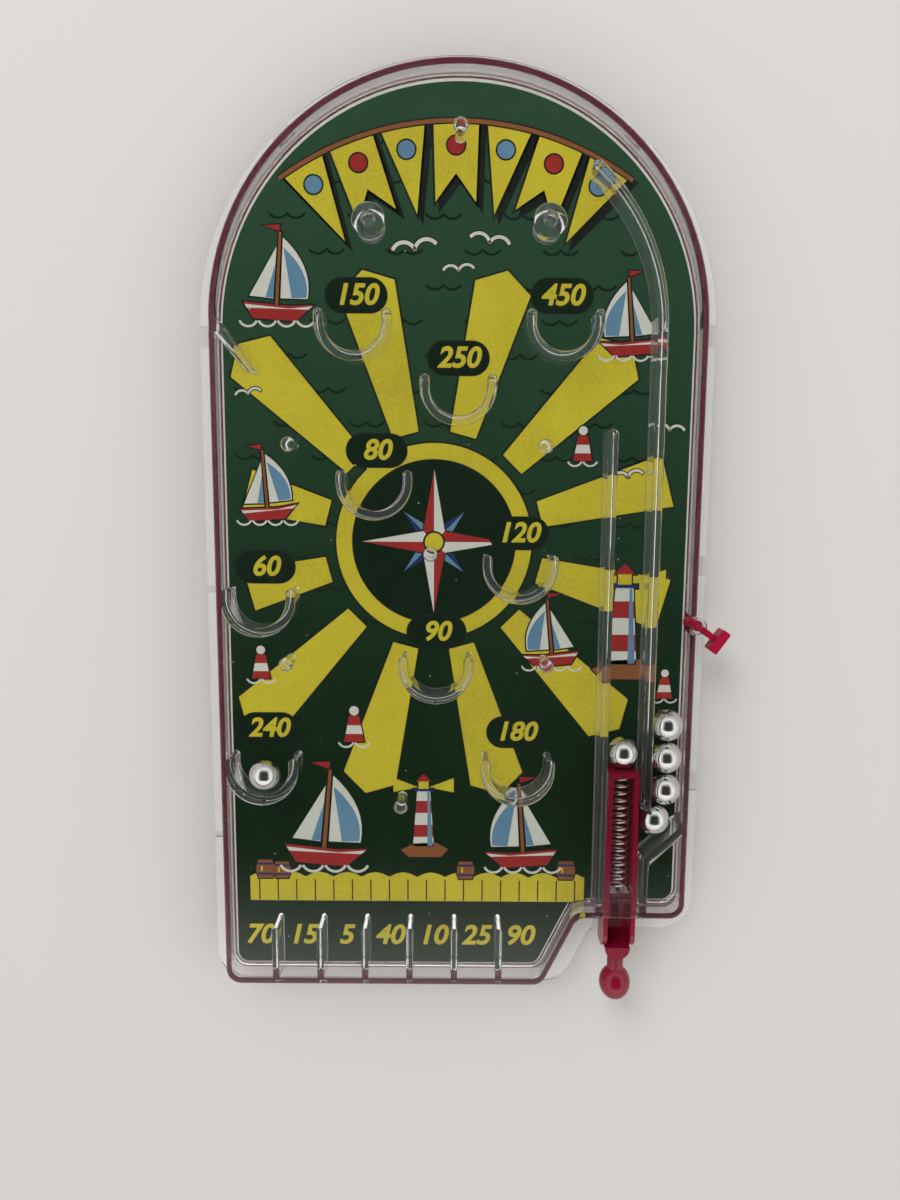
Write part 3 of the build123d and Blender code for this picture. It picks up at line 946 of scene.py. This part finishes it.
def printLighthouse(centre, size):
    foot = 4.2  # half widths and height of the tower
    head = 2.6
    tall = 23.0
    rock = [(-9, -1.5), (-6, -4.5), (7, -4.5), (10, -1.2), (5, 1.6), (-4, 1.2)]
    tower = [(-foot, 0), (foot, 0), (head, tall), (-head, tall)]
    lantern = panel(-2.0, 2.0, 23.9, 27.0)
    roof = [(-3.1, 27.0), (3.1, 27.0), (0, 30.2)]
    gallery = panel(-3.9, 3.9, 22.9, 24.0)
    shade = [(1.6, 0.3), (3.7, 0.3), (2.3, 22.8), (1.5, 22.8)]
    beamLeft = [(-2.0, 24.6), (-12.0, 28.5), (-12.0, 22.6)]
    beamRight = [(2.0, 24.6), (12.0, 22.6), (12.0, 28.5)]
    for beam in (beamLeft, beamRight):
        layInk("yellow", 4, move(beam, centre, size))
    main = (("brown", rock), ("white", tower), ("yellow", lantern), ("red", roof), ("navy", gallery))
    for ink, outline in main:
        outlined(ink, 5, move(outline, centre, size), "lighthouse")
    for low, high in ((4.0, 9.0), (14.0, 19.0)):
        lowHalf = foot - (foot - head) * low / tall
        highHalf = foot - (foot - head) * high / tall
        stripe = [(-lowHalf, low), (lowHalf, low), (highHalf, high), (-highHalf, high)]
        layInk("red", 7, move(stripe, centre, size))
    layInk("blue", 8, move(shade, centre, size))


lighthouses = (((52.0, -36.0), 1.05), ((-10.0, -96.0), 0.80))  # centre, size
for centre, size in lighthouses:
    printLighthouse(centre, size)


def printGull(centre, size, turn):
    for across, start in ((3.4, 30), (-3.4, 15)):
        wing = arcPoints((across, -1.0), 3.6, start, 135, 10)
        outlined("white", 5, move(band(wing, 1.1), centre, size, turn), "gull")


gulls = (  # centre, size, turn in degrees
    ((-13.0, 88.0), 1.0, 8.0),
    ((9.0, 90.0), 0.9, -10.0),
    ((0.0, 82.0), 0.7, 4.0),
    ((64.0, 36.0), 0.7, -6.0),
    ((-63.0, 46.0), 0.6, 10.0),
    ((52.0, 22.0), 0.7, 8.0),
)
for centre, size, turn in gulls:
    printGull(centre, size, turn)


def printBuoy(centre, size):
    cone = [(-3.2, -3.5), (3.2, -3.5), (1.6, 5.0), (-1.6, 5.0)]
    stripe = [(-2.7, -0.9), (2.7, -0.9), (2.1, 1.9), (-2.1, 1.9)]
    for ink, outline in (("red", cone), ("white", disc((0, 6.6), 1.5, 20))):
        outlined(ink, 5, move(outline, centre, size), "buoy")
    layInk("white", 7, move(stripe, centre, size))
    printFoam(centre, size, crests=2, radius=2.6, low=-2.6, width=0.6)


buoys = (((-32.0, -58.0), 1.0), ((38.0, 30.0), 0.9), ((-61.0, -38.0), 0.9), ((65.5, -44.0), 0.8))
for centre, size in buoys:
    printBuoy(centre, size)

quay = {  # sizes in mm
    "left": -66.0,
    "right": 42.0,
    "low": -114.6,
    "top": -106.4,
    "scallops": 12,
    "rise": 1.6,
    "boards": 18,
    "seam": 0.4,
    "seamGaps": (0.2, 1.0),  # below and above each seam
}


def printQuay(wall):  # scalloped yellow quay above the bins
    length = wall["right"] - wall["left"]
    steps = 4 * wall["scallops"]
    top = []
    for step in range(steps + 1):
        rise = wall["rise"] * abs(sin(pi * step / 4))
        top.append((wall["left"] + length * step / steps, wall["top"] + rise))
    foot = [(wall["left"], wall["low"]), (wall["right"], wall["low"])]
    outlined("yellow", 1, foot + top[::-1], "field")
    half = wall["seam"] / 2
    below, above = wall["seamGaps"]
    for place in range(wall["boards"]):
        x = wall["left"] + length * (place + 0.5) / wall["boards"]
        layInk("black", 3, panel(x - half, x + half, wall["low"] + below, wall["top"] - above))


printQuay(quay)


def printBarrel(centre, size):
    cask = [(-2.2, 0), (2.2, 0), (2.9, 2.1), (2.9, 4.1), (2.2, 6.2), (-2.2, 6.2), (-2.9, 4.1), (-2.9, 2.1)]
    outlined("brown", 5, move(cask, centre, size), "barrel")
    for low in (1.1, 4.5):
        hoop = [(-2.5, low), (2.5, low), (2.6, low + 0.7), (-2.6, low + 0.7)]
        layInk("navy", 7, move(hoop, centre, size))
    layInk("yellow", 7, move(panel(-1.5, -0.9, 2.3, 4.0), centre, size))


barrels = {"foot": -107.0, "spots": ((-61.0, 1.0), (-55.6, 0.9), (3.6, 0.95), (36.0, 1.0))}
for x, size in barrels["spots"]:
    printBarrel((x, barrels["foot"]), size)

ripples = {  # sizes in mm
    "rows": 26,
    "columns": 6,
    "first": (-62.0, -132.0),
    "step": (23.0, 10.0),
    "halfWidth": 63.0,
    "shore": -114.0,  # none below this
    "domeY": 64.7,
    "domeReach": 61.6,
    "apart": 2.6,  # each line is two crests
    "lift": 2.0,
    "radius": 3.2,
    "line": 0.7,
}


def isOpenSea(sea, x, y):
    if abs(x) > sea["halfWidth"] or y < sea["shore"]:
        return False
    above = y - sea["domeY"]
    if above > 0 and x * x + above**2 > sea["domeReach"] ** 2:
        return False
    return reachToEdge((x, y), 0.0) < farAway


def printRipples(sea):  # faint sea lines on the ground
    for row in range(sea["rows"]):
        y = sea["first"][1] + sea["step"][1] * row
        for column in range(sea["columns"]):
            x = sea["first"][0] + sea["step"][0] * (column + (0.5 if row % 2 else 0.0))
            if isOpenSea(sea, x, y):
                left = arcPoints((x - sea["apart"], y + sea["lift"]), sea["radius"], 215, 110, 8)
                right = arcPoints((x + sea["apart"], y + sea["lift"]), sea["radius"], 225, 100, 8)
                layInk("deepGreen", 1, band(left + right, sea["line"]))


printRipples(ripples)


figureLook = {  # in mm, but for the shear
    "ink": "yellow",
    "swell": 0.25,
    "shade": "black",
    "shadeSwell": 0.50,
    "shift": 0.55,
    "shear": 0.22,
}


def addFigure(text, centre, size, layer):  # a plain number over its offset shade
    look = figureLook
    shadePass = (look["shade"], layer, look["shift"], look["shadeSwell"])
    inkPass = (look["ink"], layer + 1, 0.0, look["swell"])
    for ink, level, shift, grow in (shadePass, inkPass):
        curve = bpy.data.curves.new("figure", "FONT")
        curve.body = text
        curve.align_x = "CENTER"
        curve.align_y = "CENTER"
        curve.size = size * mm
        curve.shear = look["shear"]
        curve.offset = grow * mm
        curve.resolution_u = 5
        curve.fill_mode = "FRONT"
        piece = bpy.data.objects.new("figure", curve)
        mesh = bpy.data.meshes.new_from_object(piece)
        place = Vector(((centre[0] + shift) * mm, (centre[1] - shift) * mm, cardTop))
        figures.append((ink, mesh, place, level * cardPrint["layer"]))
        bpy.data.objects.remove(piece)
        bpy.data.curves.remove(curve)


cupFigures = {
    "150": (-30.4, 75.0),
    "450": (30.7, 75.2),
    "250": (0.1, 57.0),
    "80": (-24.5, 29.6),
    "120": (18.9, 4.8),
    "60": (-59.0, -6.0),
    "90": (-6.1, -26.0),
    "240": (-59.0, -57.2),
    "180": (19.1, -58.0),
}
plaque = {"half": 4.2, "radius": 4.7, "layer": 9, "figure": 8.4}  # dark patch behind each cup's number
binFigures = {
    "texts": ("70", "15", "5", "40", "10", "25", "90"),
    "first": (-63.4, -126.5),
    "step": 14.1,
    "layer": 3,
    "figure": 9.2,
}


def printFigures():
    for text, (x, y) in cupFigures.items():
        right = arcPoints((x + plaque["half"], y), plaque["radius"], -90, 180, 14)
        left = arcPoints((x - plaque["half"], y), plaque["radius"], 90, 180, 14)
        outlined("deepGreen", plaque["layer"], right + left, "plaque")
        addFigure(text, (x, y), plaque["figure"], plaque["layer"] + 2)
    x, y = binFigures["first"]
    for place, text in enumerate(binFigures["texts"]):
        addFigure(text, (x + binFigures["step"] * place, y), binFigures["figure"], binFigures["layer"])


printFigures()


def addRing(paint, layer, outer, inner):
    top = cardTop + layer * cardPrint["layer"]
    loops = []
    for outline, level in ((outer, top), (inner, top), (inner, cardTop), (outer, cardTop)):
        loops.append([paint.verts.new((x * mm, y * mm, level)) for x, y in outline])
    for first, second in zip(loops, loops[1:] + loops[:1]):
        for place in range(len(outer)):
            paint.faces.new((first[place - 1], first[place], second[place], second[place - 1]))


def addPlate(paint, mesh, place, height):  # a flat fill becomes a closed plate
    flat = bmesh.new()
    flat.from_mesh(mesh)
    bmesh.ops.remove_doubles(flat, verts=flat.verts, dist=tiny)
    bmesh.ops.dissolve_degenerate(flat, edges=flat.edges, dist=tiny)
    bmesh.ops.reverse_faces(flat, faces=[face for face in flat.faces if face.normal.z < 0])
    rise = Vector((0, 0, height))
    lower = {vert: paint.verts.new(vert.co + place) for vert in flat.verts}
    upper = {vert: paint.verts.new(vert.co + place + rise) for vert in flat.verts}
    for face in flat.faces:
        paint.faces.new([upper[vert] for vert in face.verts])
        paint.faces.new([lower[vert] for vert in reversed(face.verts)])
        for loop in face.loops:
            if len(loop.edge.link_faces) == 1:
                here = loop.vert
                after = loop.link_loop_next.vert
                paint.faces.new((lower[here], lower[after], upper[after], upper[here]))
    flat.free()


def makeInkLayers():
    for ink, shapes in stacks.items():
        paint = bmesh.new()
        for tone, layer, outer, inner in rings:
            if tone == ink:
                addRing(paint, layer, outer, inner)
        for layer, outline in shapes:
            top = cardTop + layer * cardPrint["layer"]
            upper = [paint.verts.new((x * mm, y * mm, top)) for x, y in outline]
            lower = [paint.verts.new((x * mm, y * mm, cardTop)) for x, y in outline]
            paint.faces.new(upper)
            paint.faces.new(lower[::-1])
            for place in range(len(outline)):
                paint.faces.new((lower[place - 1], lower[place], upper[place], upper[place - 1]))
        for tone, mesh, place, height in figures:
            if tone == ink:
                addPlate(paint, mesh, place, height)
        if not paint.faces:
            paint.free()
            continue
        mesh = bpy.data.meshes.new(ink + "Print")
        paint.to_mesh(mesh)
        paint.free()
        piece = newPiece(ink + "Print", mesh, "case")
        dress(piece, inks[ink])


makeInkLayers()
print("card printed")


# floor, light and camera

stageLook = {"size": 60.0, "colour": (0.575, 0.56, 0.54, 1), "rough": 0.6, "drop": 0.0004}


def makeFloor(look):
    half = look["size"] / 2
    mesh = bpy.data.meshes.new("floor")
    corners = [(x, y, -look["drop"]) for x, y in panel(-half, half, -half, half)]
    mesh.from_pydata(corners, [], [(0, 1, 2, 3)])
    floor = bpy.data.objects.new("floor", mesh)
    scene.collection.objects.link(floor)
    plain = {"Roughness": look["rough"], "Base Color": look["colour"]}
    dress(floor, newMaterial("floorPaint", **plain)[0])


makeFloor(stageLook)

roomLight = {
    "across": (0.35, 1.15),  # the viewer's dark, whole up to the first slope and none past the second
    "above": (0.45, 1.70),
    "below": (0.42, 0.74),
    "dark": 0.02,
    "sky": (0.95, 0.935, 0.91),
    "horizon": (0.75, 0.45),  # below this height the sky falls to this share at the horizon
    "lowest": 0.05,  # slopes are measured no lower than this height
    "strength": 1.65,
    "lamps": (  # name, place, size, watts
        ("keyLamp", (-0.55, 1.25, 1.25), 1.0, 19.0),
        ("fillLamp", (0.85, 0.1, 0.6), 0.6, 0.9),
        ("lowLamp", (0.1, -0.95, 0.55), 0.9, 0.6),
    ),
}


def mathNode(tree, operation, place, first, second=None):
    node = addNode(tree, "ShaderNodeMath", place, operation=operation)
    for socket, value in zip(node.inputs, (first, second)):
        if value is None:
            continue
        if isinstance(value, (int, float)):
            socket.default_value = value
        else:
            tree.links.new(value, socket)
    return node.outputs["Value"]


def fadeNode(tree, place, value, near, far):  # one inside near, nought past far
    ends = {"From_Min": near, "From_Max": far, "To_Min": 1.0, "To_Max": 0.0}
    node = addNode(tree, "ShaderNodeMapRange", place, interpolation_type="SMOOTHSTEP", **ends)
    tree.links.new(value, node.inputs["Value"])
    return node.outputs["Result"]


def makeSky(light):  # a pale room, with the dark of the viewer overhead
    world = bpy.data.worlds.new("room")
    scene.world = world
    world.use_nodes = True
    tree = world.node_tree
    tree.nodes.clear()
    out = addNode(tree, "ShaderNodeOutputWorld", (900, 0))
    glow = addNode(tree, "ShaderNodeBackground", (700, 0))
    where = addNode(tree, "ShaderNodeTexCoord", (-900, 0))
    parts = addNode(tree, "ShaderNodeSeparateXYZ", (-700, 0))
    wire(tree, where, "Generated", parts, "Vector")
    height = mathNode(tree, "MAXIMUM", (-500, -200), parts.outputs["Z"], light["lowest"])
    slopeX = mathNode(tree, "DIVIDE", (-300, 150), parts.outputs["X"], height)
    slopeY = mathNode(tree, "DIVIDE", (-300, -50), parts.outputs["Y"], height)
    across = fadeNode(tree, (-100, 250), mathNode(tree, "ABSOLUTE", (-200, 300), slopeX), *light["across"])
    above = fadeNode(tree, (-100, 0), slopeY, *light["above"])
    lower = mathNode(tree, "MULTIPLY", (-200, -300), slopeY, -1.0)
    below = fadeNode(tree, (-100, -250), lower, *light["below"])
    upper = mathNode(tree, "MULTIPLY", (100, 100), across, above)
    body = mathNode(tree, "MULTIPLY", (200, 0), upper, below)
    top, share = light["horizon"]
    loss = fadeNode(tree, (-100, -500), parts.outputs["Z"], 0.0, top)
    lost = mathNode(tree, "MULTIPLY", (100, -500), loss, 1.0 - share)
    kept = mathNode(tree, "SUBTRACT", (250, -450), 1.0, lost)
    strength = mathNode(tree, "MULTIPLY", (450, -350), kept, light["strength"])
    shade = addNode(tree, "ShaderNodeMix", (450, 0), data_type="RGBA")
    shade.inputs["A"].default_value = (*light["sky"], 1)
    shade.inputs["B"].default_value = tuple(part * light["dark"] for part in light["sky"]) + (1,)
    tree.links.new(body, shade.inputs["Factor"])
    wire(tree, shade, "Result", glow, "Color")
    tree.links.new(strength, glow.inputs["Strength"])
    wire(tree, glow, "Background", out, "Surface")


def addLamps(light):
    for name, place, size, power in light["lamps"]:
        lamp = bpy.data.lights.new(name, "AREA")
        lamp.shape = "DISK"
        lamp.size = size
        lamp.energy = power
        piece = bpy.data.objects.new(name, lamp)
        scene.collection.objects.link(piece)
        piece.location = place
        piece.visible_glossy = False  # no hard disc in the flat plate
        piece.visible_transmission = False
        piece.rotation_euler = (-Vector(place)).to_track_quat("-Z", "Y").to_euler()


makeSky(roomLight)
addLamps(roomLight)

photoCamera = {
    "place": (-0.00197, 0.02145, 0.28607),
    "tilt": 7.70,  # degrees, looking down the board
    "roll": 0.36,
    "lens": 27.03,
    "sensor": 36.0,
    "near": 0.01,
}


def makeCamera(view):
    camera = bpy.data.cameras.new("photoCamera")
    camera.sensor_fit = "VERTICAL"
    camera.sensor_height = view["sensor"]
    camera.lens = view["lens"]
    camera.clip_start = view["near"]
    piece = bpy.data.objects.new("photoCamera", camera)
    scene.collection.objects.link(piece)
    tilt = Matrix.Rotation(-radians(view["tilt"]), 4, "X")
    roll = Matrix.Rotation(radians(view["roll"]), 4, "Z")
    piece.matrix_world = Matrix.Translation(view["place"]) @ tilt @ roll
    scene.camera = piece


makeCamera(photoCamera)
print("stage set")
